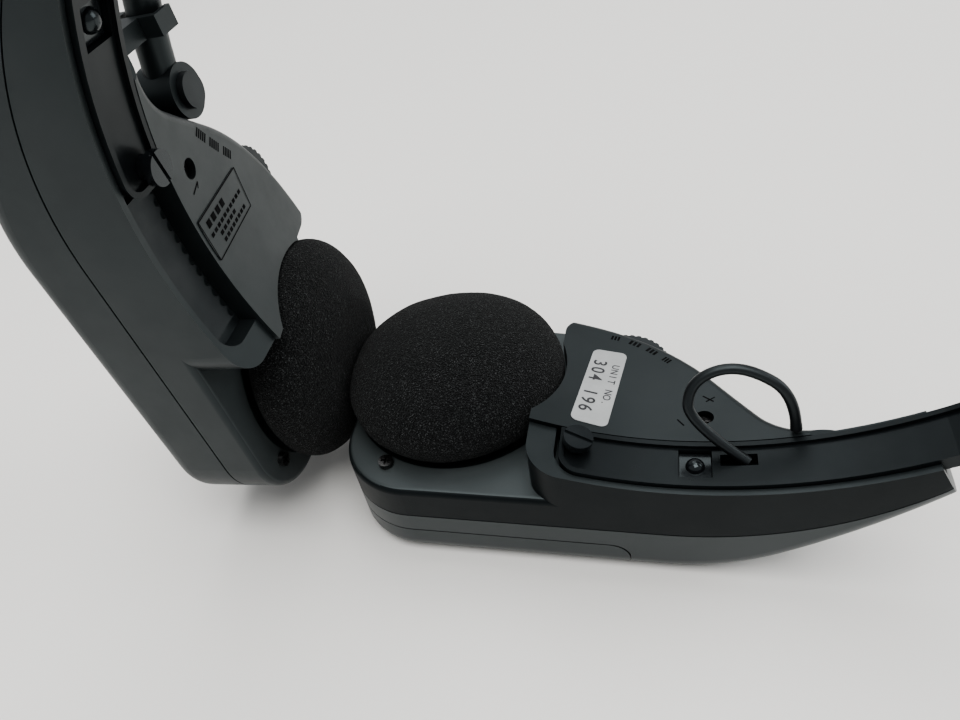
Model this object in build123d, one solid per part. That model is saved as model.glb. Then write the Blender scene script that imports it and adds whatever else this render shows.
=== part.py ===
"""Headset with two earphone pods, a spring headband and a parked microphone boom.

The right pod lies on its outer face and the left pod stands up beside it, the way the
headset rests when it is put down.  All sizes are in millimetres.

Pod frame: x runs along the pod from the ear centre towards the headband, y runs across
it, z points at the head.  The right pod is drawn in this frame.  left() mirrors a shape
drawn in it on to the left pod.
"""
import math
import os

from build123d import *

# ---------------------------------------------------------------- driving dimensions
POD_DEPTH = 31.5          # outer face to the face beside the headband channel
NEAR_Y = -32.6            # near wall of a pod
FAR_Y = 21.0              # far wall of a pod beside the ear
SLEEVE_Y = -18.0          # far wall of the narrow sleeve at the tip
WALL = 2.0                # wall thickness of the mouldings
EDGE_ROUND = 4.5          # rounding of the outer shell's edge
EAR_END_X = -23.7         # bottom end of a pod
STEP_X = 25.2             # where the raised part of a pod starts on the far side
NEAR_STEP_X = 21.2        # the same on the near side
EAR_Z = -8.2              # face around the ear cushion
EAR_FLOOR_Z = -10.4       # sunk floor below the ear cushion
EAR_FLOOR_RADIUS = 25.6
PAD_WELL_RADIUS = 27.0    # hollow in the raised wall beside the ear cushion
SEAM_Z = -17.0            # joint between inner and outer shell
SEAM_GAP = 0.35
DOOR_Z = -22.8            # top edge of the battery door
DOOR_X = 43.0             # edge of the battery door nearest the headband

SLIDE_X = 51.0            # centre of the arc that the headband slides on
SLIDE_Z = 87.7
RIM_RADIUS = 89.0         # inner edge of the headband's rims
BAND_RADIUS = 89.8        # inner face of the headband between its rims
BACK_RADIUS = 92.0        # outer face of the headband
NEAR_WALL_RADIUS = 90.0   # top of the near wall
FAR_WALL_RADIUS = 91.0    # top of the sleeve's far wall
RACK_RADIUS = 92.15       # inner face of the toothed rack
FLOOR_RADIUS = 93.6       # floor of the headband channel
TIP_TURN = 30.0           # where the pod ends on that arc, in degrees
BAND_NEAR_Y = -31.06
BAND_FAR_Y = -20.04
CHANNEL_NEAR_Y = -31.2
CHANNEL_FAR_Y = -19.9
CHANNEL_X = 26.9
BAND_END_X = 28.0         # headband end in a pod that is pushed home
BAND_CORNER = 4.2         # rounding of the headband's near corner at each end
RIM_WIDTH = 1.1           # width of the headband's raised rims

FACE_RADIUS = 88.9        # inner face beside the channel, flush with the headband's rim
RIM_Z = -5.2              # the same face at its far rim, where it is lower and flatter
RIM_X = 42.0
RIM_FACE_RADIUS = 150.0
RIM_ROUND = 1.7
EAR_ROUND = 1.4           # rounding of the edge beside the ear cushion

NEAR_STEP_CORNER = (28.2, -25.6)
NEAR_STEP_RADIUS = 7.0    # corners of the raised part beside the ear
FAR_STEP_CORNER = (30.7, 15.5)
FAR_STEP_RADIUS = 5.5
CHANNEL_CORNER = 5.3      # rounding of the channel round the headband's corner

SHOULDER_RADIUS = 60.0    # headband beside the right pod, above the head, and again
CROWN_RADIUS = 110.0
RIGHT_SHOULDER_TURN = 108.05
CROWN_TURN = 49.67
LEFT_SHOULDER_TURN = 55.28
LEFT_SLIDE_TURN = 29.64   # from the left shoulder to the middle of the left pod's arc
RIGHT_SLIDE_TURN = 32.0   # the same on the right
LEFT_PULLED_OUT = 33.0    # how far the left pod is drawn off the headband

CUP_RADIUS = 22.0
CUP_TOP = -7.0            # top of the cup's flange
PAD_RADIUS = 26.4
PAD_MIDDLE_Z = -2.8
PAD_TOP = 11.2
PAD_UNDER = 5.0
PAD_FACET_X = -24.4       # plane where the two cushions press on each other
PAD_GAP = 0.4
PIVOT_Z = -7.0            # axis that an ear cup tilts about
CELL_RADIUS = 7.15
CELL_LENGTH = 50.5
CELL_Y = (-10.4, 4.8)
WHEEL_RADIUS = 10.0
WHEEL_X = 40.6
WHEEL_Y = 6.3
BOOM_X = 66.0
BOOM_Y = 2.0
BOOM_SLIDE_RADIUS = 98.2  # the parked boom runs beside the headband at this radius
BOOM_RADIUS = 3.2
RUNNING = 0.05            # clearance of a shaft in its bore
LEAD_RADIUS = 1.1

FOOT_X = 31.302             # middle of the footprint, which becomes the origin
FOOT_Y = -3.1

# ---------------------------------------------------------------- helpers


def xz_face(edges):
    """A face in the xz plane from edges drawn as (x, z)."""
    return Plane.XZ * make_face(edges)


def slab(face, low_y, high_y):
    """Extrude a face of the xz plane between two y positions."""
    return Pos(0, low_y, 0) * extrude(face, -(high_y - low_y))


def block(low, high):
    """A box given by its lowest and highest corners."""
    size = [high[i] - low[i] for i in range(3)]
    middle = [(high[i] + low[i]) / 2 for i in range(3)]
    return Pos(*middle) * Box(*size)


def rod(radius, low, high):
    """A round bar between two points."""
    way = Vector(*high) - Vector(*low)
    return extrude(Plane(origin=low, z_dir=way) * Circle(radius), way.length)


def slide_drum(radius, low_y, high_y):
    """A drum around the axis that the headband slides about."""
    return rod(radius, (SLIDE_X, low_y, SLIDE_Z), (SLIDE_X, high_y, SLIDE_Z))


def slide_point(radius, degrees):
    """A point (x, z) on a circle around that axis, counted from straight down."""
    turn = math.radians(degrees)
    return (SLIDE_X + radius * math.sin(turn), SLIDE_Z - radius * math.cos(turn))


def slide_turn(x, radius=RIM_RADIUS):
    """How far round that circle a position x is, in degrees."""
    return math.degrees(math.asin((x - SLIDE_X) / radius))


def sector(inner, outer, start, end, low_y, high_y):
    """A curved bar around the slide axis."""
    turns = (start, (start + end) / 2, end)
    low = [slide_point(inner, turn) for turn in turns]
    high = [slide_point(outer, turn) for turn in turns]
    edges = [ThreePointArc(*low), Line(low[2], high[2]), ThreePointArc(*high), Line(high[0], low[0])]
    return slab(xz_face(edges), low_y, high_y)


# ---------------------------------------------------------------- outline of a pod

BULGE_X = 18.0
BULGE_RADIUS = 52.0
BULGE_TURN = 54.0
NEAR_CORNER = 16.7
FAR_CORNER = 20.0
WAIST_RADIUS = 14.0
TIP_X = 106.0


def arc(centre, radius, start, end):
    """An arc between two directions, in degrees from the x axis."""
    ends = []
    for degrees in (start, (start + end) / 2, end):
        turn = math.radians(degrees)
        ends.append((centre[0] + radius * math.cos(turn), centre[1] + radius * math.sin(turn)))
    return ThreePointArc(*ends)


def plan(inset):
    """The pod's outline seen from the head, moved in by inset."""
    slope = math.radians(BULGE_TURN)
    out = (math.sin(slope), math.cos(slope))
    bulge = (BULGE_X, FAR_Y - BULGE_RADIUS)
    bulge_end = (bulge[0] + BULGE_RADIUS * out[0], bulge[1] + BULGE_RADIUS * out[1])
    waist_y = SLEEVE_Y + WAIST_RADIUS
    waist_x = bulge_end[0] + (WAIST_RADIUS - (waist_y - bulge_end[1]) * out[1]) / out[0]
    near_corner = (EAR_END_X + NEAR_CORNER, NEAR_Y + NEAR_CORNER)
    far_corner = (EAR_END_X + FAR_CORNER, FAR_Y - FAR_CORNER)
    tangent = 90 - BULGE_TURN
    parts = [
        arc(near_corner, NEAR_CORNER - inset, 270, 180),
        arc(far_corner, FAR_CORNER - inset, 180, 90),
        arc(bulge, BULGE_RADIUS - inset, 90, tangent),
        arc((waist_x, waist_y), WAIST_RADIUS + inset, 180 + tangent, 270),
    ]
    tip = TIP_X - inset
    joined = [Line((tip, NEAR_Y + inset), parts[0] @ 0)]
    for before, after in zip(parts, parts[1:]):
        joined += [before, Line(before @ 1, after @ 0)]
    joined += [parts[-1], Line(parts[-1] @ 1, (tip, SLEEVE_Y - inset))]
    joined.append(Line((tip, SLEEVE_Y - inset), (tip, NEAR_Y + inset)))
    return make_face(joined)


BELLY_X = 50.0
BELLY_RADIUS = 42.0
BELLY_TURN = 36.0
TAIL_RADIUS = 150.0
TAIL_TURN = 50.0
ABOVE = 24.0


def side(inset):
    """The pod seen from its near side, open above, moved in by inset."""
    bottom = -POD_DEPTH + inset
    belly = (BELLY_X, -POD_DEPTH + BELLY_RADIUS)
    first = arc(belly, BELLY_RADIUS - inset, 270, 270 + BELLY_TURN)
    turn = math.radians(BELLY_TURN)
    shift = TAIL_RADIUS - BELLY_RADIUS
    tail = (belly[0] - shift * math.sin(turn), belly[1] + shift * math.cos(turn))
    second = arc(tail, TAIL_RADIUS - inset, 270 + BELLY_TURN, 270 + TAIL_TURN)
    end = second @ 1
    edges = [
        Line((EAR_END_X - 10, bottom), (BELLY_X, bottom)),
        first,
        second,
        Line(end, (end.X + 8, ABOVE)),
        Line((end.X + 8, ABOVE), (EAR_END_X - 10, ABOVE)),
        Line((EAR_END_X - 10, ABOVE), (EAR_END_X - 10, bottom)),
    ]
    return xz_face(edges)


def runs_across(edge):
    """True for a straight edge along y."""
    way = edge % 0.5
    return edge.geom_type == GeomType.LINE and abs(way.Y) > 0.99


def pod_block(inset):
    """A pod's outline and side view combined, with sharp edges."""
    return extrude(Pos(0, 0, -POD_DEPTH - 5) * plan(inset), 70) & slab(side(inset), -60, 60)


def pod_form():
    """The outside of a pod before its inner face is shaped."""
    form = pod_block(0)
    below = [face for face in form.faces() if face.normal_at().Z < -0.3]
    edges = []
    for face in below:
        for edge in face.edges():
            if not runs_across(edge):
                edges.append(edge)
    return fillet(edges, EDGE_ROUND)


def above_arc(centre, radius, y):
    """A face in the xz plane at y, everything above an arc, as wide as the pod."""
    low = []
    for x in (STEP_X - 15, 62.0, 104.0):
        low.append((x, centre[1] - math.sqrt(radius ** 2 - (x - centre[0]) ** 2)))
    edges = [
        ThreePointArc(*low),
        Line(low[2], (low[2][0], 70)),
        Line((low[2][0], 70), (low[0][0], 70)),
        Line((low[0][0], 70), low[0]),
    ]
    return Pos(0, y, 0) * xz_face(edges)


def above_plateau(drop):
    """Everything above the inner face, which is lowered by drop.

    The face is ruled from an arc beside the channel to a flatter, lower arc at the far rim.
    """
    beside = above_arc((SLIDE_X, SLIDE_Z), FACE_RADIUS + drop, CHANNEL_FAR_Y)
    rim = above_arc((RIM_X, RIM_Z + RIM_FACE_RADIUS), RIM_FACE_RADIUS + drop, FAR_Y + 2)
    return loft([beside, rim], ruled=True)


def face_z(x, y):
    """Height of the inner face at a place."""
    beside = SLIDE_Z - math.sqrt(FACE_RADIUS ** 2 - (x - SLIDE_X) ** 2)
    rim = RIM_Z + RIM_FACE_RADIUS - math.sqrt(RIM_FACE_RADIUS ** 2 - (x - RIM_X) ** 2)
    share = (y - CHANNEL_FAR_Y) / (FAR_Y + 2 - CHANNEL_FAR_Y)
    return beside + (rim - beside) * share


def tip_cut(turn):
    """Everything past the radial plane that ends the pod."""
    low = slide_point(60, turn)
    high = slide_point(130, turn)
    far = (high[0] + 60, high[1] + 20)
    near = (low[0] + 60, low[1] + 30)
    edges = [Line(low, high), Line(high, far), Line(far, near), Line(near, low)]
    return slab(xz_face(edges), -60, 60)


RAMP_X = 77.0
RAMP_LENGTH = 5.0


def above_sleeve(drop):
    """Everything above the sleeve's far wall, with a ramp down from the inner face."""
    radius = FAR_WALL_RADIUS + drop
    low = slide_point(radius, slide_turn(RAMP_X + RAMP_LENGTH, radius))
    far = slide_point(radius, 34)
    middle = slide_point(radius, 26)
    top = slide_point(FACE_RADIUS + drop, slide_turn(RAMP_X))
    edges = [
        Line(top, low),
        ThreePointArc(low, middle, far),
        Line(far, (far[0], 60)),
        Line((far[0], 60), (top[0], 60)),
        Line((top[0], 60), top),
    ]
    return slab(xz_face(edges), CHANNEL_FAR_Y, 40)


def step_corners(drop, inset):
    """What is cut away to round the raised part's two corners beside the ear."""
    x, y = NEAR_STEP_CORNER
    near = block((-60, -60, EAR_Z - drop), (x, y, 60))
    near -= rod(NEAR_STEP_RADIUS - inset, (x, y, -60), (x, y, 60))
    x, y = FAR_STEP_CORNER
    far = block((-60, y, EAR_Z - drop), (x, 60, 60))
    far -= rod(FAR_STEP_RADIUS - inset, (x, y, -60), (x, y, 60))
    return near + far


def channel_plan(inset):
    """The channel seen from the head, rounded at its near corner."""
    low = (CHANNEL_X - inset, CHANNEL_NEAR_Y - inset)
    space = block((*low, -60), (130, CHANNEL_FAR_Y + inset, 80))
    x = CHANNEL_X + CHANNEL_CORNER
    y = CHANNEL_NEAR_Y + CHANNEL_CORNER
    corner = block((-60, -60, -60), (x, y, 80))
    corner -= rod(CHANNEL_CORNER + inset, (x, y, -60), (x, y, 80))
    return space - corner


def shaped(form, drop, inset):
    """Cut the inner face into a pod form: ear face, channel, walls and plateau."""
    ear = block((-60, 0, EAR_Z - drop), (STEP_X + inset, 60, 60))
    ear += block((-60, -60, EAR_Z - drop), (NEAR_STEP_X + inset, 0, 60))
    wall = slide_drum(NEAR_WALL_RADIUS + drop, -60, CHANNEL_NEAR_Y)
    channel = slide_drum(FLOOR_RADIUS + drop, CHANNEL_NEAR_Y - inset, CHANNEL_FAR_Y + inset)
    channel &= channel_plan(inset)
    end_wall = slide_drum(NEAR_WALL_RADIUS + drop, CHANNEL_NEAR_Y - 1, CHANNEL_FAR_Y)
    well = rod(PAD_WELL_RADIUS + inset, (0, 0, EAR_Z - drop), (0, 0, 60))
    floor = rod(EAR_FLOOR_RADIUS + inset, (0, 0, EAR_FLOOR_Z - drop), (0, 0, 60))
    form = form - ear - wall - channel - end_wall - well - floor
    form = form - step_corners(drop, inset)
    form = form - above_plateau(drop) - above_sleeve(drop)
    return form - tip_cut(TIP_TURN - 0.64 * inset)


def below_seam(drop):
    """Everything under the joint between the two shells."""
    radius = 66.0
    centre = (50.0, SEAM_Z - drop + radius)
    curve = arc(centre, radius, 270, 320)
    end = curve @ 1
    edges = [
        Line((-60, SEAM_Z - drop), (50, SEAM_Z - drop)),
        curve,
        Line(end, (end.X + 20, -60)),
        Line((end.X + 20, -60), (-60, -60)),
        Line((-60, -60), (-60, SEAM_Z - drop)),
    ]
    return slab(xz_face(edges), -60, 60)



# ---------------------------------------------------------------- the left pod's place

def step(point, length, degrees):
    """The point reached from another by going along a slide direction."""
    turn = math.radians(degrees)
    return (point[0] + length * math.sin(turn), point[1] - length * math.cos(turn))


SHOULDER_END = RIGHT_SLIDE_TURN + RIGHT_SHOULDER_TURN
CROWN_END = SHOULDER_END + CROWN_TURN
LEFT_SHOULDER_END = CROWN_END + LEFT_SHOULDER_TURN
LEFT_HEADING = LEFT_SHOULDER_END + LEFT_SLIDE_TURN
RIGHT_CENTRE = (SLIDE_X, SLIDE_Z)
RIGHT_SHOULDER_CENTRE = step(RIGHT_CENTRE, RIM_RADIUS - SHOULDER_RADIUS, RIGHT_SLIDE_TURN)
CROWN_CENTRE = step(RIGHT_SHOULDER_CENTRE, SHOULDER_RADIUS - CROWN_RADIUS, SHOULDER_END)
LEFT_SHOULDER_CENTRE = step(CROWN_CENTRE, CROWN_RADIUS - SHOULDER_RADIUS, CROWN_END)
LEFT_CENTRE = step(LEFT_SHOULDER_CENTRE, SHOULDER_RADIUS - RIM_RADIUS, LEFT_SHOULDER_END)
PULLED_TURN = math.degrees(LEFT_PULLED_OUT / RIM_RADIUS)


def left(shape):
    """Mirror a shape drawn in the pod frame on to the left pod."""
    centred = Pos(-SLIDE_X, 0, -SLIDE_Z) * shape
    turned = Rot(0, 180 - LEFT_HEADING, 0) * mirror(centred, about=Plane.XY)
    return Pos(LEFT_CENTRE[0], 0, LEFT_CENTRE[1]) * turned


def slid(shape, degrees):
    """Move a shape round the slide axis, away from the ear."""
    return Pos(SLIDE_X, 0, SLIDE_Z) * Rot(0, -degrees, 0) * Pos(-SLIDE_X, 0, -SLIDE_Z) * shape


# ---------------------------------------------------------------- pod shells

SCREW_X = 57.5
SCREW_Y = -12.8
SCREW_HOLE = 1.95
BOSS_RADIUS = 3.4
BOSS_SPLIT_Z = -14.0
EAR_SCREW_X = -12.0
EAR_SCREW_Y = -25.2
WHEEL_LOW = -8.6
WHEEL_HIGH = -5.0
BOARD_LOW = -14.8
BOARD_HIGH = -13.4


def on_outline(outline, point):
    """True for a point straight above the pod's outline."""
    return outline.distance_to(Vertex(point.X, point.Y, 0)) < 0.02


def top_edges(body, wanted):
    """Edges straight above the pod's outline whose two ends and middle pass a test."""
    outline = plan(0).wire()
    found = []
    for edge in body.edges():
        points = [edge @ share for share in (0.02, 0.5, 0.98)]
        lowest = min(point.Z for point in points)
        above = all(on_outline(outline, point) for point in points)
        if above and lowest > EAR_Z - 0.01 and wanted(points):
            found.append(edge)
    return found


def on_rim(points):
    """True for the far edge of the raised inner face."""
    return points[1].Y > 0 and points[1].Z > EAR_Z + 1 and abs(points[0].X - points[2].X) > 1


def on_ear(points):
    """True for the edge round the face beside the ear cushion."""
    level = all(abs(point.Z - EAR_Z) < 0.01 for point in points)
    return level and points[1].X < STEP_X


def rounded(body):
    """Round the far rim of the inner face and the edge round the ear."""
    body = fillet(top_edges(body, on_rim), RIM_ROUND)
    return fillet(top_edges(body, on_ear), EAR_ROUND)


def pod_shells():
    """The inner and outer shell of a pod, without holes for fittings."""
    form = pod_form()
    body = rounded(shaped(form, 0, 0))
    shell = body - shaped(pod_block(WALL), WALL, WALL)
    below = below_seam(0)
    inner = shell - below
    groove = (form - pod_block(0.6)) & (below - below_seam(SEAM_GAP))
    outer = (shell & below) - groove
    return inner, outer


def add_fittings(inner, outer):
    """Screw bosses, the wheel slot, cup pillars and board posts."""
    top = face_z(SCREW_X, SCREW_Y)
    boss = rod(BOSS_RADIUS, (SCREW_X, SCREW_Y, BOSS_SPLIT_Z), (SCREW_X, SCREW_Y, top - 1))
    inner += boss
    inner -= rod(SCREW_HOLE, (SCREW_X, SCREW_Y, top - 3.2), (SCREW_X, SCREW_Y, 10))
    inner -= rod(1.02, (SCREW_X, SCREW_Y, -20), (SCREW_X, SCREW_Y, 0))
    stand = rod(BOSS_RADIUS, (SCREW_X, SCREW_Y, -POD_DEPTH + 1), (SCREW_X, SCREW_Y, BOSS_SPLIT_Z))
    outer += stand & pod_block(0.9)
    outer -= rod(1.02, (SCREW_X, SCREW_Y, -22), (SCREW_X, SCREW_Y, -10))
    inner += rod(2.6, (EAR_SCREW_X, EAR_SCREW_Y, -16), (EAR_SCREW_X, EAR_SCREW_Y, EAR_Z - 0.5))
    inner -= rod(1.02, (EAR_SCREW_X, EAR_SCREW_Y, -20), (EAR_SCREW_X, EAR_SCREW_Y, 0))
    slot = rod(WHEEL_RADIUS + 0.5, (WHEEL_X, WHEEL_Y, WHEEL_LOW - 0.4), (WHEEL_X, WHEEL_Y, WHEEL_HIGH + 0.4))
    inner -= slot
    for x in (31.5, 47.0):
        inner += rod(1.4, (x, -6.5, BOARD_HIGH), (x, -6.5, face_z(x, -6.5) - 1))
    for low, high in ((-10.0, -8.0), (8.0, 10.0)):
        inner += block((low, -1.6, EAR_FLOOR_Z - 0.5), (high, 1.6, PIVOT_Z))
        inner += rod(1.6, (low, 0, PIVOT_Z), (high, 0, PIVOT_Z))
    inner -= rod(0.9 + 0.01, (-10.5, 0, PIVOT_Z), (10.5, 0, PIVOT_Z))
    return inner, outer


def door_zone(gap):
    """Everything that belongs to the battery door, grown by gap."""
    top = DOOR_Z + gap
    corner = 4.6
    edge_x = DOOR_X + gap
    edges = [
        Line((-60, top), (edge_x - corner, top)),
        arc((edge_x - corner, top - corner), corner, 90, 0),
        Line((edge_x, top - corner), (edge_x, -60)),
        Line((edge_x, -60), (-60, -60)),
        Line((-60, -60), (-60, top)),
    ]
    return slab(xz_face(edges), -60, 60)


# ---------------------------------------------------------------- ear cup and cushion

def turned_face(points):
    """A face to be revolved, from (radius, z) points."""
    return Plane.XZ * make_face(Polyline(*points, close=True))


def ear_cup():
    """The tilting carrier of the earphone and its cushion."""
    base = rod(CUP_RADIUS, (0, 0, -8.6), (0, 0, -7.0))
    wall = rod(20.5, (0, 0, -7.0), (0, 0, -3.4)) - rod(18.7, (0, 0, -7.0), (0, 0, 0))
    cup = base + wall
    for low, high in ((-10.4, -7.6), (7.6, 10.4)):
        cup -= block((low, -2.6, -9), (high, 2.6, -6))
    cup += block((-7.2, -2.0, -8.6), (7.2, 2.0, -5.4))
    return cup - rod(0.9 + RUNNING, (-12, 0, PIVOT_Z), (12, 0, PIVOT_Z))


def driver():
    """Earphone basket with its flange on the cup wall."""
    flange = rod(20.4, (0, 0, -3.4), (0, 0, -2.4))
    basket = rod(18.2, (0, 0, -4.6), (0, 0, -3.4))
    return flange + basket


def grille():
    """Perforated cover in front of the earphone."""
    cover = rod(17.2, (0, 0, -2.4), (0, 0, 0.2)) - rod(16.2, (0, 0, -2.4), (0, 0, -0.6))
    holes = [rod(1.0, (0, 0, -1), (0, 0, 1))]
    for radius, count in ((4.5, 6), (8.5, 12), (12.5, 18)):
        for index in range(count):
            turn = 2 * math.pi * index / count
            x = radius * math.cos(turn)
            y = radius * math.sin(turn)
            holes.append(rod(1.0, (x, y, -1), (x, y, 1)))
    return cover - Compound(children=holes)


def cushion():
    """Foam cushion: a dome over the earphone, tucked in round the cup."""
    top = (0, PAD_MIDDLE_Z + PAD_TOP)
    tuck = 22.5
    points = []
    for index in range(10):
        turn = math.radians(90 - 10 * index)
        points.append((PAD_RADIUS * math.cos(turn), PAD_MIDDLE_Z + PAD_TOP * math.sin(turn)))
    dome = Spline(*points, tangents=[(1, 0), (0, -1)])
    under = []
    for index in range(7):
        turn = math.radians(15 * index)
        under.append((tuck + (PAD_RADIUS - tuck) * math.cos(turn), PAD_MIDDLE_Z - PAD_UNDER * math.sin(turn)))
    lower = Spline(*under, tangents=[(0, -1), (-1, 0)])
    bottom = PAD_MIDDLE_Z - PAD_UNDER
    step_in = (20.9, CUP_TOP + 0.15)
    flange = (tuck, CUP_TOP + 0.15)
    seat = [(20.9, -2.0), (17.6, -2.0), (17.6, 0.6), (0, 0.6)]
    inside = Polyline((tuck, bottom), flange, step_in, *seat, top)
    profile = Plane.XZ * make_face([dome, lower, *inside.edges()])
    return revolve(profile, Axis.Z)


# ---------------------------------------------------------------- small fittings

def screw(radius, x, y, under_head, head_height, end):
    """A screw standing along z with a crossed recess in its head."""
    head = rod(radius, (x, y, under_head), (x, y, under_head + head_height))
    shank = rod(1.0, (x, y, end), (x, y, under_head))
    low = under_head + head_height - 0.7
    cross = block((x - 1.1, y - 0.25, low), (x + 1.1, y + 0.25, low + 2))
    cross += block((x - 0.25, y - 1.1, low), (x + 0.25, y + 1.1, low + 2))
    return head + shank - cross


def thumb_wheel():
    """Control wheel with a ribbed edge."""
    wheel = rod(WHEEL_RADIUS, (WHEEL_X, WHEEL_Y, WHEEL_LOW), (WHEEL_X, WHEEL_Y, WHEEL_HIGH))
    notches = []
    for index in range(36):
        turn = 2 * math.pi * index / 36
        x = WHEEL_X + (WHEEL_RADIUS + 0.25) * math.cos(turn)
        y = WHEEL_Y + (WHEEL_RADIUS + 0.25) * math.sin(turn)
        notches.append(rod(0.55, (x, y, WHEEL_LOW), (x, y, WHEEL_HIGH)))
    wheel -= Compound(children=notches)
    return wheel - rod(1.5 + RUNNING, (WHEEL_X, WHEEL_Y, -20), (WHEEL_X, WHEEL_Y, 0))


def control(square):
    """The electrical control that a wheel turns, with its shaft."""
    top = WHEEL_LOW - 0.5
    if square:
        body = block((WHEEL_X - 4.6, WHEEL_Y - 4.6, BOARD_HIGH), (WHEEL_X + 4.6, WHEEL_Y + 3.6, top))
    else:
        body = rod(4.7, (WHEEL_X, WHEEL_Y, BOARD_HIGH), (WHEEL_X, WHEEL_Y, top))
    return body + rod(1.5, (WHEEL_X, WHEEL_Y, BOARD_HIGH), (WHEEL_X, WHEEL_Y, WHEEL_HIGH + 0.3))


def board():
    """Circuit board in the raised part of a pod."""
    return block((29.6, -10.0, BOARD_LOW), (49.0, 7.4, BOARD_HIGH))


def board_parts(places):
    """Small components on the board, each (x, y, length, width, height)."""
    parts = Part()
    for x, y, long, wide, high in places:
        low = (x - long / 2, y - wide / 2, BOARD_HIGH)
        parts += block(low, (x + long / 2, y + wide / 2, BOARD_HIGH + high))
    return parts


def rack():
    """Toothed strip on the channel floor with scalloped edges."""
    start = slide_turn(30.5)
    end = slide_turn(60.0)
    strip = sector(RACK_RADIUS, FLOOR_RADIUS, start, end, -30.3, -21.7)
    notches = []
    pitch = (end - start) / 12
    for index in range(12):
        for y in (-30.3, -21.7):
            x, z = slide_point(FLOOR_RADIUS, start + pitch * (index + 0.5))
            notches.append(rod(0.95, (x, y, z - 2), (x, y, z + 3)))
    return strip - Compound(children=notches)


def lock_screw(shank):
    """Slotted screw with its washer on the end of the headband."""
    turn = slide_turn(31.4)
    low, mid, top, end = [slide_point(radius, turn) for radius in (BACK_RADIUS, BAND_RADIUS - 0.06, 88.0, 86.4)]
    y = -23.9
    pin = rod(shank, (low[0], y, low[1]), (mid[0], y, mid[1]))
    if shank > 1.2:
        return pin
    washer = rod(2.2, (mid[0], y, mid[1]), (top[0], y, top[1]))
    head = rod(3.1, (top[0], y, top[1]), (end[0], y, end[1]))
    groove = Pos(end[0], y, end[1]) * Rot(0, -turn, 75) * Box(0.8, 7, 1.2)
    return pin + washer + head - groove


def detent():
    """Sprung steel leaf with a bump, held in the headband's window."""
    start = slide_turn(52.3)
    end = slide_turn(58.4)
    leaf = sector(90.8, 91.4, start, end, -28.2, -21.8)
    x, z = slide_point(91.2, (start + end) / 2)
    bump = Pos(x, -25, z) * Sphere(2.0)
    return leaf + (bump & slide_drum(91.3, -40, 0))


# ---------------------------------------------------------------- headband

def band_chain(offset, start, end):
    """The headband's line moved outwards, from one slide position to the other."""
    stretches = [
        (RIGHT_CENTRE, RIM_RADIUS, start, RIGHT_SLIDE_TURN),
        (RIGHT_SHOULDER_CENTRE, SHOULDER_RADIUS, RIGHT_SLIDE_TURN, SHOULDER_END),
        (CROWN_CENTRE, CROWN_RADIUS, SHOULDER_END, CROWN_END),
        (LEFT_SHOULDER_CENTRE, SHOULDER_RADIUS, CROWN_END, LEFT_SHOULDER_END),
        (LEFT_CENTRE, RIM_RADIUS, LEFT_SHOULDER_END, end),
    ]
    edges = []
    for centre, radius, first, last in stretches:
        places = [step(centre, radius + offset, turn) for turn in (first, (first + last) / 2, last)]
        edges.append(ThreePointArc(*places))
    return edges


def band_layer(inner, outer, low_y, high_y):
    """A layer of the headband between two offsets from its rims."""
    start = slide_turn(BAND_END_X)
    end = LEFT_HEADING - (start + PULLED_TURN)
    inside = band_chain(inner, start, end)
    outside = band_chain(outer, start, end)
    edges = inside + outside
    edges.append(Line(inside[0] @ 0, outside[0] @ 0))
    edges.append(Line(inside[-1] @ 1, outside[-1] @ 1))
    return slab(xz_face(edges), low_y, high_y)


def beyond_end(margin):
    """Everything outside a line that follows the headband's rounded end, margin inside it."""
    low_x = BAND_END_X + margin
    low_y = BAND_NEAR_Y + margin
    middle = (BAND_END_X + BAND_CORNER, BAND_NEAR_Y + BAND_CORNER)
    corner = block((low_x - 9, low_y - 9, -20), (*middle, 20))
    corner -= rod(BAND_CORNER - margin, (*middle, -30), (*middle, 30))
    return corner + block((low_x - 9, low_y - 9, -20), (low_x, 0, 20))


def band_cuts():
    """Window, lead slot and screw hole at one end of the headband."""
    window = sector(85, 95, slide_turn(52.1), slide_turn(58.6), -28.4, -21.6)
    slot = sector(85, 95, slide_turn(60.2), slide_turn(67.2), -25.5, -22.7)
    return window + slot + lock_screw(1.22)


def headband():
    """Springy strip with a raised rim along its edges and round its ends."""
    inside_y = (BAND_NEAR_Y + RIM_WIDTH, BAND_FAR_Y - RIM_WIDTH)
    strip = band_layer(0, BACK_RADIUS - RIM_RADIUS, BAND_NEAR_Y, BAND_FAR_Y)
    hollow = band_layer(-1, BAND_RADIUS - RIM_RADIUS, *inside_y)
    for put in (lambda shape: shape, lambda shape: left(slid(shape, PULLED_TURN))):
        strip -= put(beyond_end(0))
        hollow -= put(beyond_end(RIM_WIDTH))
    strip -= hollow
    return strip - band_cuts() - left(slid(band_cuts(), PULLED_TURN))


# ---------------------------------------------------------------- microphone boom

BOOM_TURN = 9.3
CLIP_X = 79.5
ARM_SHOULDER = SHOULDER_RADIUS + BOOM_SLIDE_RADIUS - RIM_RADIUS
ARM_CENTRE = step(RIGHT_CENTRE, RIM_RADIUS - SHOULDER_RADIUS, LEFT_SLIDE_TURN)
ARM_END = LEFT_SLIDE_TURN + LEFT_SHOULDER_TURN
HUB_RADIUS = 5.2
HUB_LOW = -12.9
HUB_HIGH = -5.0


def round_bar(centre, radius, start, end, thickness):
    """A round bar bent about a centre in the plane of the boom."""
    first = step(centre, radius, start)
    face = Plane(origin=(first[0], BOOM_Y, first[1]), z_dir=slide_way(start)) * Circle(thickness)
    axis = Axis((centre[0], 0, centre[1]), (0, -1, 0))
    return revolve(face, axis, end - start)


def slide_way(degrees):
    """Direction along the slide at a turn."""
    turn = math.radians(degrees)
    return (math.cos(turn), 0, math.sin(turn))


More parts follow.
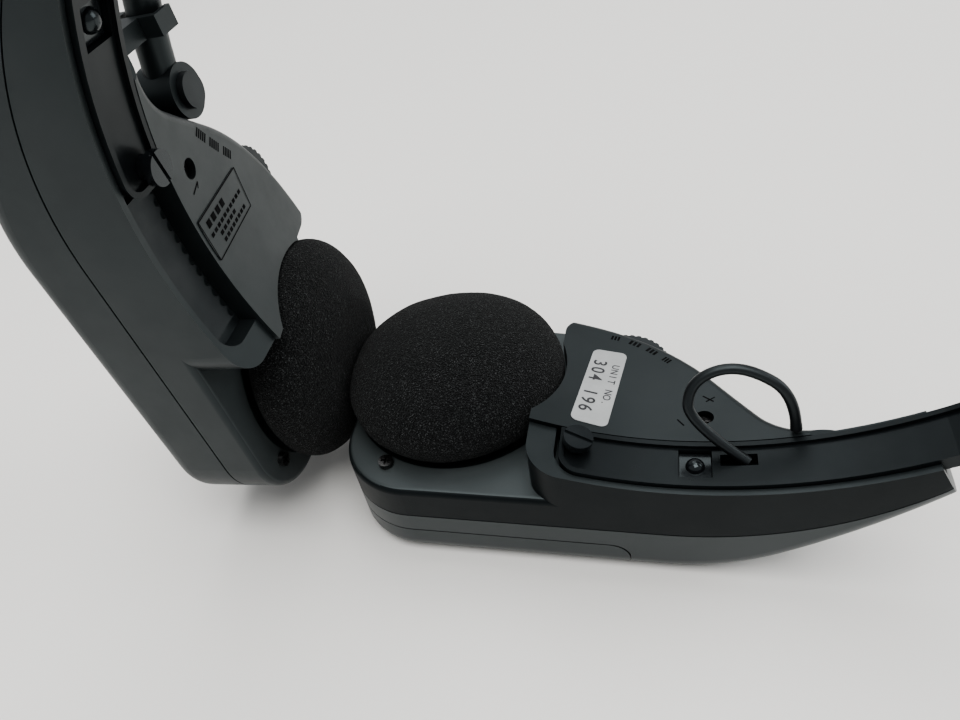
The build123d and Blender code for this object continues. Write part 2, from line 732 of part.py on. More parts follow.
def along(degrees, length):
    """A point past the end of the boom."""
    base = step(ARM_CENTRE, ARM_SHOULDER, ARM_END)
    way = slide_way(degrees)
    return (base[0] + length * way[0], BOOM_Y, base[1] + length * way[2])


def boom_arm():
    """Bent arm with the hub that it swings on."""
    arm = round_bar(RIGHT_CENTRE, BOOM_SLIDE_RADIUS, BOOM_TURN, LEFT_SLIDE_TURN, BOOM_RADIUS)
    arm += round_bar(ARM_CENTRE, ARM_SHOULDER, LEFT_SLIDE_TURN, ARM_END, BOOM_RADIUS)
    arm += rod(HUB_RADIUS, (BOOM_X, BOOM_Y, HUB_LOW), (BOOM_X, BOOM_Y, HUB_HIGH))
    return arm - rod(1.5 + RUNNING, (BOOM_X, BOOM_Y, -20), (BOOM_X, BOOM_Y, 0))


def boom_bracket(pod):
    """Arm on the pod's far wall that carries the boom's hinge."""
    foot = make_face(Polyline((59.5, -3.5), (63.0, 4.6), (69.6, -0.2), (68.0, -14.0), close=True))
    bracket = Pos(0, 0, -17.5) * extrude(foot, 4.4)
    bracket += rod(4.2, (BOOM_X, BOOM_Y, -17.5), (BOOM_X, BOOM_Y, HUB_LOW - 0.1))
    return bracket - rod(1.5, (BOOM_X, BOOM_Y, -16), (BOOM_X, BOOM_Y, 0)) - pod


def boom_clip(pod):
    """Fork on the sleeve that holds the parked boom."""
    low, high = CLIP_X - 1.8, CLIP_X + 1.8
    height = slide_point(BOOM_SLIDE_RADIUS, slide_turn(CLIP_X, BOOM_SLIDE_RADIUS))[1]
    gap = BOOM_RADIUS + 0.6
    clip = block((low, -19.0, height - 2.0), (high, BOOM_Y - BOOM_RADIUS - 0.5, height + 2.0))
    clip += block((low, BOOM_Y - BOOM_RADIUS - 1.8, height - gap - 1.7), (high, 2.6, height + gap + 1.7))
    start = slide_turn(CLIP_X - 6, BOOM_SLIDE_RADIUS)
    end = slide_turn(CLIP_X + 6, BOOM_SLIDE_RADIUS)
    inner, outer = BOOM_SLIDE_RADIUS - gap, BOOM_SLIDE_RADIUS + gap
    clip -= sector(inner, outer, start, end, BOOM_Y - BOOM_RADIUS - 0.3, 20)
    return clip - pod


# ---------------------------------------------------------------- lead loop

LEAD_POINTS = [
    (64.6, -23.8, -1.0),
    (53.5, -20.0, 5.2),
    (53.5, -16.3, 11.6),
    (58.7, -14.4, 14.9),
    (65.2, -14.4, 14.9),
    (73.2, -16.6, 10.9),
    (74.4, -18.3, 3.9),
]


def bend_radii(points):
    """Bend radius at each inner point: 0.45 of the shorter run over tan(half the turn)."""
    radii = []
    for before, here, after in zip(points, points[1:], points[2:]):
        arriving = Vector(*here) - Vector(*before)
        leaving = Vector(*after) - Vector(*here)
        half = math.radians(arriving.get_angle(leaving)) / 2
        radii.append(0.45 * min(arriving.length, leaving.length) / math.tan(half))
    return radii


def lead_loop():
    """The lead between the headband's end and the pod, and its length."""
    radii = bend_radii(LEAD_POINTS)
    print("lead bend radii", [round(radius, 2) for radius in radii])
    line = FilletPolyline(*LEAD_POINTS, radius=radii)
    print("lead length", round(line.length, 2))
    start = Plane(origin=line @ 0, z_dir=line % 0)
    return sweep(start * Circle(LEAD_RADIUS), path=line)


def sticker(x, y, width, length, turn, corner):
    """A thin label that follows the pod's inner face."""
    outline = Pos(x, y, -12) * Rot(0, 0, turn) * RectangleRounded(width, length, corner)
    column = extrude(outline, 24)
    return column & (above_plateau(0) - above_plateau(-0.15))


def lead_gland(point, way, length):
    """A collar that a lead end stands on."""
    foot = Vector(*point) - Vector(*way).normalized() * length
    return rod(1.15, tuple(foot), point)


# ---------------------------------------------------------------- assembly

def build():
    """All pieces by name, in the frame of the right pod."""
    pieces = {}
    inner, outer = pod_shells()
    inner, outer = add_fittings(inner, outer)
    solid = shaped(pod_form(), 0, 0)
    for side, put in (("right", lambda shape: shape), ("left", left)):
        pieces[f"{side}_inner_shell"] = put(inner)
        pieces[f"{side}_ear_cup"] = put(ear_cup())
        pieces[f"{side}_cup_pivot_pin"] = put(rod(0.9, (-10, 0, PIVOT_Z), (10, 0, PIVOT_Z)))
        pieces[f"{side}_earphone_driver"] = put(driver())
        pieces[f"{side}_driver_magnet"] = put(rod(9.0, (0, 0, -5.3), (0, 0, -4.6)))
        pieces[f"{side}_earphone_grille"] = put(grille())
        pieces[f"{side}_slide_rack"] = put(rack())
        sunk = face_z(SCREW_X, SCREW_Y) - 3.2
        pieces[f"{side}_shell_screw"] = put(screw(1.75, SCREW_X, SCREW_Y, sunk, 1.5, -21))
        pieces[f"{side}_ear_face_screw"] = put(screw(1.7, EAR_SCREW_X, EAR_SCREW_Y, EAR_Z, 1.3, -15))
        pieces[f"{side}_circuit_board"] = put(board())
    pieces["right_outer_shell"] = outer - door_zone(0.15)
    pieces["battery_door"] = outer & door_zone(-0.15)
    pieces["left_outer_shell"] = left(outer)
    cells = [Pos(16.2, y, -22.2) * Rot(0, 90, 0) * Cylinder(CELL_RADIUS, CELL_LENGTH - 1.4) for y in CELL_Y]
    studs = [rod(2.6, (40.7, y, -22.2), (41.4, y, -22.2)) for y in CELL_Y]
    pieces["battery_cells"] = Compound(children=[cell + stud for cell, stud in zip(cells, studs)])
    contacts = [
        block((41.45, -16.3, -23.6), (42.0, 10.7, -16.0)),
        block((-9.1, -16.3, -28.4), (-8.5, 10.7, -16.0)),
    ]
    pieces["battery_contacts"] = Compound(children=contacts)
    pieces["volume_wheel"] = thumb_wheel()
    pieces["volume_control"] = control(False)
    pieces["tuning_wheel"] = left(thumb_wheel())
    pieces["tuning_capacitor"] = left(control(True))
    amplifier = [(33.2, 0.5, 3.4, 6.0, 1.6), (45.5, -2.0, 3.0, 3.0, 3.5), (39.0, -6.4, 5.0, 3.0, 1.4)]
    pieces["right_board_parts"] = board_parts(amplifier)
    receiver = [(33.0, 0.5, 3.6, 5.0, 4.0), (39.5, -6.6, 7.0, 4.5, 1.6), (45.8, -2.0, 2.6, 2.6, 4.2)]
    pieces["left_board_parts"] = left(board_parts(receiver))
    pieces["right_ear_cushion"] = cushion() - block((-60, -60, -60), (PAD_FACET_X + PAD_GAP / 2, 60, 60))
    pieces["left_ear_cushion"] = left(cushion()) - block((PAD_FACET_X - PAD_GAP / 2, -60, -60), (60, 60, 60))
    pieces["headband_strip"] = headband()
    pieces["right_lock_screw"] = lock_screw(1.2)
    pieces["left_lock_screw"] = left(slid(lock_screw(1.2), PULLED_TURN))
    pieces["right_detent_leaf"] = detent()
    pieces["left_detent_leaf"] = left(slid(detent(), PULLED_TURN))
    pieces["serial_label"] = sticker(35.0, -4.6, 8.0, 26.2, -7.4, 1.6)
    pieces["left_info_label"] = left(sticker(45.2, -8.6, 9.0, 20.4, 0, 0.8))
    pieces["boom_arm"] = left(boom_arm())
    pieces["boom_bracket"] = left(boom_bracket(solid))
    pieces["boom_hinge_pin"] = left(rod(1.5, (BOOM_X, BOOM_Y, -16), (BOOM_X, BOOM_Y, -4.2)))
    cap = rod(3.4, (BOOM_X, BOOM_Y, HUB_HIGH + 0.1), (BOOM_X, BOOM_Y, -3.6))
    pieces["boom_hinge_cap"] = left(cap - rod(1.5, (BOOM_X, BOOM_Y, -20), (BOOM_X, BOOM_Y, -4.2)))
    pieces["boom_park_clip"] = left(boom_clip(solid))
    housing = rod(4.6, along(ARM_END, 0), along(ARM_END, 15)) - rod(3.4, along(ARM_END, 8), along(ARM_END, 16))
    pieces["mic_housing"] = left(housing)
    pieces["mic_element"] = left(rod(3.35, along(ARM_END, 8), along(ARM_END, 14)))
    foam = Pos(*along(ARM_END, 15)) * Sphere(9.0)
    foam = foam - rod(4.9, along(ARM_END, -20), along(ARM_END, 15.3))
    pieces["mic_windscreen"] = left(foam)
    pieces["lead_loop"] = lead_loop()
    first = Vector(*LEAD_POINTS[1]) - Vector(*LEAD_POINTS[0])
    last = Vector(*LEAD_POINTS[-2]) - Vector(*LEAD_POINTS[-1])
    pieces["lead_band_gland"] = lead_gland(LEAD_POINTS[0], tuple(first), 1.2)
    pieces["lead_pod_gland"] = lead_gland(LEAD_POINTS[-1], tuple(last), 1.2)
    return pieces


def main():
    os.makedirs("parts", exist_ok=True)
    whole = []
    for name, piece in build().items():
        placed = Pos(-FOOT_X, -FOOT_Y, POD_DEPTH) * piece
        whole.append(placed)
        export_step(placed, f"parts/{name}.step")
        print(name, round(placed.volume, 1), len(placed.solids()), placed.is_valid)
    box = Compound(children=whole).bounding_box()
    print("whole", box.min, box.max)


main()
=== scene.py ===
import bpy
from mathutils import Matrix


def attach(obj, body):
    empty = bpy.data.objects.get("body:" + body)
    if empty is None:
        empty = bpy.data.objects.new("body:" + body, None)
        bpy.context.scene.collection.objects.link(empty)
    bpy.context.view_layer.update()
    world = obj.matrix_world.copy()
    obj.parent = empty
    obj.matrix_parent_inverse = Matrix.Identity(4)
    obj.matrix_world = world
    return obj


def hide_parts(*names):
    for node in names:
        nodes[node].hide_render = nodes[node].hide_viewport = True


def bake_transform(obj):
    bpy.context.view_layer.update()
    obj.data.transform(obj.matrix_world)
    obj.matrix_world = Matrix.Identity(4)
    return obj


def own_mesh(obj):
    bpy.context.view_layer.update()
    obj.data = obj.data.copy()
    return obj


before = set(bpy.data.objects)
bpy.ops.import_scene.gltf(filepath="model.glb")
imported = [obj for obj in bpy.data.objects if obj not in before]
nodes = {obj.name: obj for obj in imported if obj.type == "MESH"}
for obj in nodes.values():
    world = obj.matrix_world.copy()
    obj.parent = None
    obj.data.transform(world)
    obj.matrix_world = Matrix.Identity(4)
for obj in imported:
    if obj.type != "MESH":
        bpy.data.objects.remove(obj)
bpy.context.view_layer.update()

import math

import bmesh
import bpy
from mathutils import Matrix, Vector, noise

# The CAD origin lies here in the right pod's own frame, in millimetres.
FOOT = Vector((31.302, -3.1, -31.5))


def pod_point(x, y, z):
    """A point drawn in the right pod's frame, in millimetres, as a scene point."""
    return (Vector((x, y, z)) - FOOT) / 1000.0


# The left pod's frame: where its ear centre lies and which way its x and z axes point.
LEFT_EAR = Vector((-31.184, 0.0, 3.875))
LEFT_X = Vector((-0.080895, 0.0, 0.996723))
LEFT_Z = Vector((0.996723, 0.0, 0.080895))


def left_point(x, y, z):
    """A point drawn in the left pod's own frame as a scene point."""
    return pod_point(*(LEFT_EAR + x * LEFT_X + Vector((0, y, 0)) + z * LEFT_Z))


CHANNEL_ARC = (87.7, 88.9, 51.0)
RIM_ARC = (144.8, 150.0, 42.0)
CHANNEL_Y = -19.9
FACE_WIDTH = 42.9


def arc_height(arc, x):
    """Height of an arc, given as its centre's height, its radius and its centre's x."""
    centre, radius, middle = arc
    return centre - math.sqrt(radius ** 2 - (x - middle) ** 2)


def face_height(x, y):
    """Height of a pod's raised inner face, ruled between an arc beside the channel and one at the rim."""
    beside = arc_height(CHANNEL_ARC, x)
    rim = arc_height(RIM_ARC, x)
    return beside + (rim - beside) * (y - CHANNEL_Y) / FACE_WIDTH


# ------------------------------------------------------------------ camera

camera_data = bpy.data.cameras.new("camera")
camera_data.lens = 28.19
camera_data.sensor_width = 36.0
camera_data.clip_start = 0.005
camera = bpy.data.objects.new("camera", camera_data)
right = Vector((0.975095, 0.176158, -0.134752))
down = Vector((0.028171, -0.701024, -0.712581))
ahead = Vector((-0.219991, 0.691038, -0.688528))
turn = Matrix((right, -down, -ahead)).transposed().to_4x4()
camera.matrix_world = Matrix.Translation(pod_point(45.785, -123.280, 123.798)) @ turn
bpy.context.scene.collection.objects.link(camera)
bpy.context.scene.camera = camera

# ------------------------------------------------------------------ materials


class Look:
    """A procedural material, built node by node."""

    def __init__(self, name):
        self.material = bpy.data.materials.new(name)
        self.material.use_nodes = True
        self.tree = self.material.node_tree
        self.shader = self.tree.nodes["Principled BSDF"]
        self.place = self.tree.nodes.new("ShaderNodeTexCoord").outputs["Object"]
        self.normal = None

    def add(self, kind):
        return self.tree.nodes.new(kind)

    def link(self, out, into):
        self.tree.links.new(out, into)

    def noise(self, scale, detail=4.0, rough=0.6, stretch=None):
        node = self.add("ShaderNodeTexNoise")
        node.inputs["Scale"].default_value = scale
        node.inputs["Detail"].default_value = detail
        node.inputs["Roughness"].default_value = rough
        source = self.place
        if stretch:
            mapping = self.add("ShaderNodeMapping")
            mapping.inputs["Scale"].default_value = stretch
            self.link(self.place, mapping.inputs["Vector"])
            source = mapping.outputs["Vector"]
        self.link(source, node.inputs["Vector"])
        return node.outputs["Fac"]

    def cells(self, scale, feature="F1"):
        node = self.add("ShaderNodeTexVoronoi")
        node.feature = feature
        node.inputs["Scale"].default_value = scale
        self.link(self.place, node.inputs["Vector"])
        return node.outputs["Distance"]

    def ramp(self, source, stops):
        node = self.add("ShaderNodeValToRGB")
        ramp = node.color_ramp
        while len(ramp.elements) < len(stops):
            ramp.elements.new(0.5)
        for element, (place, shade) in zip(ramp.elements, stops):
            element.position = place
            colour = shade if isinstance(shade, tuple) else (shade, shade, shade)
            element.color = (*colour, 1.0)
        self.link(source, node.inputs["Fac"])
        return node.outputs["Color"]

    def bump(self, source, strength, distance):
        node = self.add("ShaderNodeBump")
        node.inputs["Strength"].default_value = strength
        node.inputs["Distance"].default_value = distance
        self.link(source, node.inputs["Height"])
        if self.normal:
            self.link(self.normal, node.inputs["Normal"])
        self.normal = node.outputs["Normal"]
        self.link(self.normal, self.shader.inputs["Normal"])

    def colour(self, source):
        self.link(source, self.shader.inputs["Base Color"])

    def rough(self, source):
        self.link(source, self.shader.inputs["Roughness"])

    def set(self, **values):
        for key, value in values.items():
            self.shader.inputs[key.replace("_", " ")].default_value = value
        return self


def plastic(name, dark, light, low, high, grain=0.03, grain_scale=2600.0, spec=0.5):
    """Moulded plastic: slight mottling, handling marks in the gloss, fine moulded grain."""
    look = Look(name)
    look.colour(look.ramp(look.noise(38.0, 5.0), [(0.3, dark), (0.75, light)]))
    look.rough(look.ramp(look.noise(120.0, 6.0, 0.7), [(0.3, low), (0.7, high)]))
    look.bump(look.noise(grain_scale, 2.0, 0.5), grain, 0.00008)
    look.bump(look.noise(60.0, 2.0, 0.4), 0.05, 0.0004)
    look.set(Specular_IOR_Level=spec, Specular_Tint=(0.84, 0.97, 1.0, 1.0))
    return look


def steel(name, shade, low, high):
    """Bright or plated metal with fine scratches."""
    look = Look(name)
    look.colour(look.ramp(look.noise(500.0, 4.0), [(0.3, shade * 0.82), (0.7, shade)]))
    look.rough(look.ramp(look.noise(700.0, 4.0, 0.6, (1, 8, 1)), [(0.3, low), (0.7, high)]))
    look.bump(look.noise(1500.0, 2.0), 0.05, 0.0001)
    look.set(Metallic=1.0)
    return look


SHELL_DARK = (0.0085, 0.0105, 0.0112)
SHELL_LIGHT = (0.0150, 0.0180, 0.0190)
shell = plastic("shell_plastic", SHELL_DARK, SHELL_LIGHT, 0.36, 0.47, spec=0.42)
face = plastic("inner_face_plastic", SHELL_DARK, SHELL_LIGHT, 0.34, 0.45, spec=0.48)
ear = plastic("ear_face_plastic", (0.031, 0.036, 0.037), (0.047, 0.053, 0.054), 0.42, 0.52, 0.12, 1500.0)
# Painted shade: a darker copy of the shell plastic with weaker reflections, for the near-facing side of the
# right inner shell, standing in for the dark surroundings that side reflects.
NEAR_WALL_SHADE_DARK = (0.0035, 0.0045, 0.0052)
NEAR_WALL_SHADE_LIGHT = (0.0065, 0.0080, 0.0090)
near_wall_shade = plastic("near_wall_painted_shade_plastic", NEAR_WALL_SHADE_DARK, NEAR_WALL_SHADE_LIGHT, 0.36, 0.46, spec=0.16)
BAND_DARK = (0.0045, 0.0055, 0.0062)
BAND_LIGHT = (0.0085, 0.0100, 0.0112)
band = plastic("band_plastic", BAND_DARK, BAND_LIGHT, 0.26, 0.38, 0.02, spec=0.24)
rack = plastic("rack_plastic", (0.005, 0.005, 0.006), (0.010, 0.010, 0.011), 0.38, 0.55)
cup = plastic("cup_plastic", (0.007, 0.007, 0.008), (0.012, 0.012, 0.013), 0.45, 0.6)
rubber = plastic("lead_rubber", (0.004, 0.004, 0.005), (0.008, 0.008, 0.009), 0.34, 0.46, 0.02)
component = plastic("component_body", (0.01, 0.01, 0.012), (0.03, 0.03, 0.034), 0.4, 0.6)
cell = plastic("cell_wrap", (0.02, 0.03, 0.05), (0.05, 0.06, 0.09), 0.22, 0.34)
gloss = plastic("black_gloss", (0.006, 0.007, 0.008), (0.011, 0.012, 0.014), 0.14, 0.24, 0.01)
dark_metal = steel("blackened_steel", 0.10, 0.22, 0.36)
bright = steel("bright_steel", 0.72, 0.2, 0.34)

foam = Look("open_cell_foam")
SPECKLE = [(0.42, (0.0010, 0.0014, 0.0015)), (0.56, (0.0075, 0.0085, 0.0088)), (0.66, (0.095, 0.100, 0.101))]
foam.colour(foam.ramp(foam.noise(2900.0, 4.0, 0.8), SPECKLE))
foam.bump(foam.cells(3000.0), 1.0, 0.0004)
foam.bump(foam.noise(2600.0, 3.0, 0.7), 0.6, 0.0003)
foam.set(Roughness=0.95, Specular_IOR_Level=0.10)
foam.shader.inputs["Sheen Weight"].default_value = 0.05
foam.shader.inputs["Sheen Roughness"].default_value = 0.6

paper = Look("label_paper")
paper.colour(paper.ramp(paper.noise(180.0, 4.0), [(0.3, (0.33, 0.34, 0.34)), (0.7, (0.39, 0.40, 0.40))]))
paper.rough(paper.ramp(paper.noise(400.0, 3.0), [(0.3, 0.42), (0.7, 0.55)]))
paper.bump(paper.noise(1200.0, 2.0), 0.06, 0.0001)

ink = Look("label_ink")
ink.colour(ink.ramp(ink.noise(900.0, 3.0), [(0.3, (0.016, 0.016, 0.018)), (0.7, (0.04, 0.04, 0.045))]))
ink.set(Roughness=0.5)

print_ink = Look("worn_print")
PRINT_TONES = [(0.3, (0.004, 0.004, 0.004)), (0.7, (0.012, 0.012, 0.013))]
print_ink.colour(print_ink.ramp(print_ink.noise(700.0, 3.0), PRINT_TONES))
print_ink.set(Roughness=0.8, Specular_IOR_Level=0.04)

laminate = Look("board_laminate")
LAMINATE_TONES = [(0.3, (0.01, 0.06, 0.025)), (0.7, (0.02, 0.11, 0.05))]
laminate.colour(laminate.ramp(laminate.noise(300.0, 4.0), LAMINATE_TONES))
laminate.rough(laminate.ramp(laminate.noise(500.0, 3.0), [(0.3, 0.3), (0.7, 0.45)]))
laminate.bump(laminate.noise(2200.0, 2.0), 0.1, 0.0001)

# Paler copy of the shell plastic: the lighter colour is a painted reflection of the table, and the streaks
# that break its gloss are wear.
worn_and_reflected_shell = plastic("worn_shell_painted_reflection", (0.0200, 0.0225, 0.0235), (0.0320, 0.0350, 0.0360), 0.34, 0.46)
worn_and_reflected_shell.rough(worn_and_reflected_shell.ramp(worn_and_reflected_shell.noise(260.0, 8.0, 0.8, (0.25, 1.2, 2.2)), [(0.70, 0.36), (0.76, 0.75)]))


# ------------------------------------------------------------------ dressing the CAD pieces

def dress(name, look, bevel):
    """Give a CAD piece its material, smooth shading and softened edges."""
    piece = nodes[name]
    piece.data.materials.clear()
    piece.data.materials.append(look.material)
    piece.data.shade_smooth()
    piece.data.set_sharp_from_angle(angle=math.radians(32))
    if bevel:
        cut = piece.modifiers.new("edge", "BEVEL")
        cut.width = bevel / 1000.0
        cut.segments = 2
        cut.limit_method = "ANGLE"
        cut.angle_limit = math.radians(40)
        cut.harden_normals = False


LOOKS = {
    "right_inner_shell": (face, 0.35), "left_inner_shell": (face, 0.35),
    # The right outer shell and the battery door take the paler plastic, a painted reflection of the table.
    "right_outer_shell": (worn_and_reflected_shell, 0.2), "left_outer_shell": (shell, 0.2), "battery_door": (worn_and_reflected_shell, 0.2),
    "right_slide_rack": (rack, 0.1), "left_slide_rack": (rack, 0.1),
    "right_shell_screw": (dark_metal, 0.08), "left_shell_screw": (dark_metal, 0.08),
    "right_ear_face_screw": (dark_metal, 0.15), "left_ear_face_screw": (dark_metal, 0.15),
    "right_circuit_board": (laminate, 0), "left_circuit_board": (laminate, 0),
    "right_board_parts": (component, 0.1), "left_board_parts": (component, 0.1),
    "battery_cells": (cell, 0.3), "battery_contacts": (bright, 0),
    "volume_control": (component, 0.1), "tuning_capacitor": (component, 0.1),
    "volume_wheel": (rack, 0.1), "tuning_wheel": (rack, 0.1),
    "right_cup_pivot_pin": (bright, 0), "left_cup_pivot_pin": (bright, 0),
    "right_ear_cup": (cup, 0.3), "left_ear_cup": (cup, 0.3),
    "right_earphone_driver": (component, 0.1), "left_earphone_driver": (component, 0.1),
    "right_driver_magnet": (bright, 0), "left_driver_magnet": (bright, 0),
    "right_earphone_grille": (rack, 0), "left_earphone_grille": (rack, 0),
    "headband_strip": (band, 0.25),
    "right_lock_screw": (gloss, 0.3), "left_lock_screw": (gloss, 0.3),
    "right_detent_leaf": (gloss, 0.2), "left_detent_leaf": (gloss, 0.2),
    "serial_label": (paper, 0), "left_info_label": (face, 0),
    "boom_bracket": (shell, 0.3), "boom_hinge_pin": (dark_metal, 0), "boom_hinge_cap": (rack, 0.5),
    "boom_park_clip": (shell, 0.4), "boom_arm": (shell, 0.2),
    "mic_housing": (shell, 0.3), "mic_element": (bright, 0.1),
    "lead_band_gland": (rubber, 0.15), "lead_pod_gland": (rubber, 0.15),
}
for name, (look, bevel) in LOOKS.items():
    dress(name, look, bevel)


def finish_faces(name, middle, up, side):
    """Give an inner shell its grained face round the ear and a second plastic on its near-facing side; on the
    right pod that plastic is painted shade.
    """
    mesh = nodes[name].data
    mesh.materials.append(side.material)
    mesh.materials.append(ear.material)
    for polygon in mesh.polygons:
        height = (polygon.center - middle).dot(up)
        if polygon.normal.y < -0.45:
            polygon.material_index = 1
        elif polygon.normal.dot(up) > 0.9 and abs(height) < 0.0006:
            polygon.material_index = 2


EAR_FACE_Z = -8.2
# The right pod's near-facing side takes the painted-shade plastic; the left pod's takes the plain shell
# plastic.
finish_faces("right_inner_shell", pod_point(0, 0, EAR_FACE_Z), Vector((0, 0, 1)), near_wall_shade)
finish_faces("left_inner_shell", left_point(0, 0, EAR_FACE_Z), LEFT_Z, shell)

# ------------------------------------------------------------------ foam pieces

def foam_copy(node, body, name, depth, swell):
    """A foam piece remeshed from the CAD piece, with an uneven, pitted surface."""
    source = nodes[node]
    piece = bpy.data.objects.new(name, source.data.copy())
    bpy.context.scene.collection.objects.link(piece)
    remesh = piece.modifiers.new("remesh", "REMESH")
    remesh.mode = "VOXEL"
    remesh.voxel_size = 0.0007
    shaped = bpy.data.meshes.new_from_object(piece.evaluated_get(bpy.context.evaluated_depsgraph_get()))
    piece.modifiers.clear()
    piece.data = shaped
    mesh = piece.data
    for vertex in mesh.vertices:
        place = vertex.co
        lump = noise.noise(place * 55.0) * swell + noise.noise(place * 160.0) * swell * 0.35
        pit = noise.noise(place * 1100.0) * depth
        vertex.co = place + vertex.normal * (lump + pit)
    mesh.materials.clear()
    mesh.materials.append(foam.material)
    mesh.shade_smooth()
    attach(piece, body)
    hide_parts(node)
    return piece


right_pad = foam_copy("right_ear_cushion", "right_cup", "right_cushion_foam", 0.00005, 0.00035)
left_pad = foam_copy("left_ear_cushion", "left_cup", "left_cushion_foam", 0.00005, 0.00035)
screen = foam_copy("mic_windscreen", "boom", "windscreen_foam", 0.00005, 0.0002)
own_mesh(left_pad)

# ------------------------------------------------------------------ lead loop

LEAD_ACROSS = 0.0022
LEAD = [
    (64.6, -23.8, -1.0), (53.5, -20.0, 5.2), (53.5, -16.3, 11.6), (58.7, -14.4, 14.9),
    (65.2, -14.4, 14.9), (73.2, -16.6, 10.9), (74.4, -18.3, 3.9),
]
curve = bpy.data.curves.new("lead_line", "CURVE")
curve.dimensions = "3D"
curve.bevel_resolution = 6
curve.resolution_u = 24
curve.use_fill_caps = True
spline = curve.splines.new("NURBS")
spline.points.add(len(LEAD) - 1)
for point, place in zip(spline.points, LEAD):
    point.co = (*pod_point(*place), 1.0)
spline.order_u = 3
spline.use_endpoint_u = True
line = bpy.data.objects.new("lead_line", curve)
bpy.context.scene.collection.objects.link(line)


def solid_copy(source):
    """The mesh of an object as it is drawn now."""
    bpy.context.view_layer.update()
    return bpy.data.meshes.new_from_object(source.evaluated_get(bpy.context.evaluated_depsgraph_get()))


path = [tuple(vertex.co) for vertex in solid_copy(line).vertices]
curve.bevel_depth = LEAD_ACROSS / 2
lead = bpy.data.objects.new("lead", solid_copy(line))
bpy.data.objects.remove(line)
lead.data.materials.clear()
lead.data.materials.append(rubber.material)
lead.data.shade_smooth()
bpy.context.scene.collection.objects.link(lead)
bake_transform(lead)
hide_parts("lead_loop")

# ------------------------------------------------------------------ printing

LABEL_MIDDLE = Vector((35.0, -4.6))
LABEL_TURN = math.radians(-7.4)


def label_place(across, along):
    """A point on the number label, from its middle, as a place on the right pod."""
    offset = Vector((across, along))
    offset.rotate(Matrix.Rotation(LABEL_TURN, 2))
    return LABEL_MIDDLE + offset


def print_piece(name, body, look, shapes, make_point, lift):
    """Flat printing, given as outlines of faces on a pod's inner face, lifted by a hair."""
    mesh = bpy.data.meshes.new(name)
    ink_shape = bmesh.new()
    for outline in shapes:
        corners = [ink_shape.verts.new(make_point(x, y, face_height(x, y) + lift)) for x, y in outline]
        ink_shape.faces.new(corners)
    ink_shape.to_mesh(mesh)
    ink_shape.free()
    mesh.materials.append(look.material)
    piece = bpy.data.objects.new(name, mesh)
    bpy.context.scene.collection.objects.link(piece)
    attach(piece, body)


def letters(text, height, pitch, across, along):
    """Outlines of the faces of a line of letters that reads towards the channel."""
    outlines = []
    for index, letter in enumerate(text):
        font = bpy.data.curves.new("letter", "FONT")
        font.body = letter
        font.align_x = "CENTER"
        font.size = height / 0.72
        font.offset = 0.018 * height
        sample = bpy.data.objects.new("letter", font)
        bpy.context.scene.collection.objects.link(sample)
        mesh = solid_copy(sample)
        bpy.data.objects.remove(sample)
        for part in mesh.polygons:
            flat = [mesh.vertices[i].co for i in part.vertices]
            outlines.append([label_place(across + at.y, along - index * pitch - at.x) for at in flat])
    return outlines


def bar(start, end, width):
    """The outline of a straight bar between two places."""
    start, end = Vector(start), Vector(end)
    side = (end - start).orthogonal().normalized() * width / 2
    return [start + side, end + side, end - side, start - side]


def row(start, end, count, fill, width):
    """Short bars in a line, which stand for a row of worn marks."""
    start, step = Vector(start), (Vector(end) - Vector(start)) / count
    return [bar(start + step * i, start + step * (i + fill), width) for i in range(count)]


LABEL_LIFT = 0.19
FACE_LIFT = 0.03
digits = letters("304 196", 3.1, 2.75, -3.0, 8.0)
print_piece("label_digits", "right_pod", ink, digits, pod_point, LABEL_LIFT)
heading = letters("UNIT NO.", 1.7, 1.85, 1.4, 7.4)
print_piece("label_heading", "right_pod", ink, heading, pod_point, LABEL_LIFT)

RIGHT_TICKS = [
    ((36.5, 14.2), (38.8, 13.7)), ((41.0, 12.8), (43.8, 11.2)),
    ((45.2, 10.3), (47.6, 8.3)), ((49.0, 6.9), (50.6, 5.4)),
]
LEFT_TICKS = [((61.3, -6.0), (58.5, -3.6)), ((57.6, -2.8), (54.8, -0.3)), ((53.8, 0.7), (51.4, 2.9))]
right_marks = [tick for start, end in RIGHT_TICKS for tick in row(start, end, 3, 0.62, 1.6)]
left_marks = [tick for start, end in LEFT_TICKS for tick in row(start, end, 5, 0.62, 1.8)]
right_marks += [bar((57.4, -6.2), (59.6, -8.0), 0.35), bar((58.0, -8.0), (59.9, -6.6), 0.3)]
right_marks += [bar((51.9, -13.6), (53.3, -15.4), 0.35)]
left_marks += [bar((53.6, -15.4), (54.6, -12.4), 0.35), bar((54.6, -12.4), (53.6, -13.2), 0.3)]
print_piece("right_face_marks", "right_pod", print_ink, right_marks, pod_point, FACE_LIFT)
print_piece("left_face_marks", "left_pod", print_ink, left_marks, left_point, FACE_LIFT)

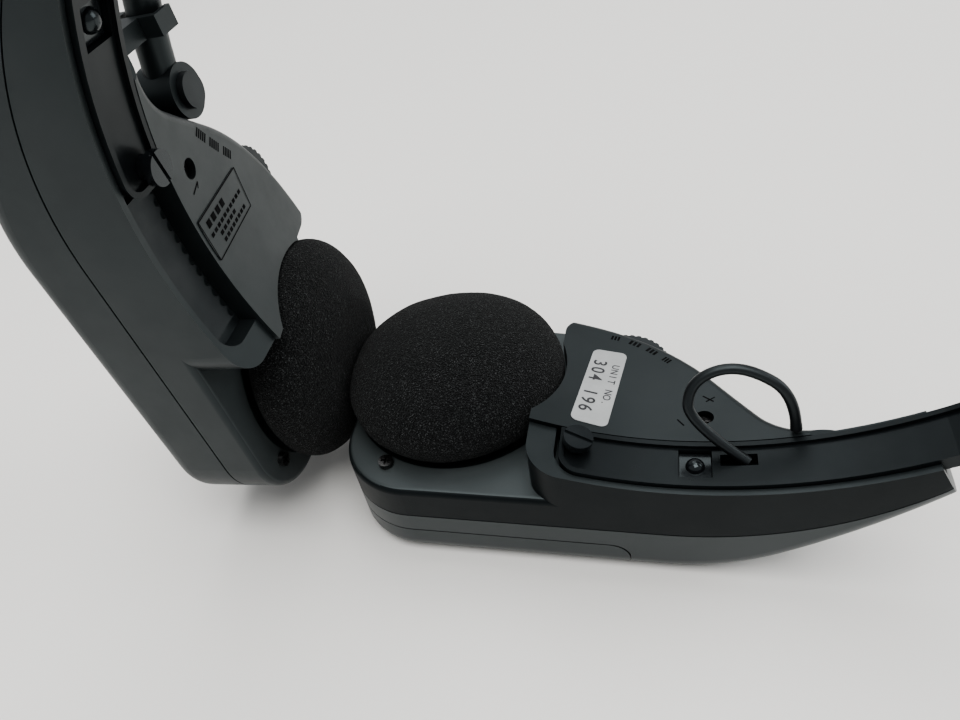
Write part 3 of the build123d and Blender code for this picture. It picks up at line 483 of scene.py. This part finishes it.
PANEL = [(49.5, -18.6), (49.5, 1.4), (40.9, 0.6), (40.9, -18.6)]
PANEL_ROWS = [
    (47.4, -16.5, -7.0, 4, 1.5), (45.3, -17.0, 0.0, 10, 0.8),
    (43.8, -14.0, -5.0, 5, 0.8), (42.3, -14.0, -1.0, 8, 0.8),
]
panel_marks = [bar(PANEL[i], PANEL[(i + 1) % 4], 0.25) for i in range(4)]
for x, low, high, count, width in PANEL_ROWS:
    panel_marks += row((x, low), (x, high), count, 0.7, width)
print_piece("left_panel_marks", "left_pod", print_ink, panel_marks, left_point, LABEL_LIFT)

# ------------------------------------------------------------------ room, light and finish

floor = bpy.data.objects.new("floor", bpy.data.meshes.new("floor"))
grid = bmesh.new()
bmesh.ops.create_grid(grid, x_segments=1, y_segments=1, size=4.0)
grid.to_mesh(floor.data)
grid.free()
bpy.context.scene.collection.objects.link(floor)
table = Look("table")
table.colour(table.ramp(table.noise(1.6, 2.0), [(0.3, (0.770, 0.758, 0.735)), (0.7, (0.810, 0.798, 0.775))]))
table.set(Roughness=0.55, Specular_IOR_Level=0.3)
floor.data.materials.append(table.material)

world = bpy.data.worlds.new("room")
world.use_nodes = True
world.node_tree.nodes["Background"].inputs["Color"].default_value = (0.84, 0.85, 0.86, 1.0)
world.node_tree.nodes["Background"].inputs["Strength"].default_value = 0.52
bpy.context.scene.world = world


def lamp(name, place, aim, size, power, colour=(1.0, 1.0, 1.0)):
    """A soft rectangular light."""
    data = bpy.data.lights.new(name, "AREA")
    data.size = size
    data.energy = power
    data.color = colour
    light = bpy.data.objects.new(name, data)
    way = Vector(aim) - Vector(place)
    light.matrix_world = Matrix.Translation(Vector(place)) @ way.to_track_quat("-Z", "Y").to_matrix().to_4x4()
    bpy.context.scene.collection.objects.link(light)


lamp("window", (1.3, 0.5, 0.7), (0.0, 0.0, 0.03), 0.9, 7.0, (0.97, 0.99, 1.0))
lamp("ceiling", (0.1, -0.25, 1.5), (0.0, -0.05, 0.0), 1.2, 23.0, (1.0, 0.995, 0.98))
lamp("back", (-0.15, 0.6, 0.95), (0.0, 0.0, 0.03), 0.7, 3.0)
bpy.context.scene.view_settings.view_transform = "AgX"
bpy.context.scene.view_settings.look = "AgX - Medium High Contrast"
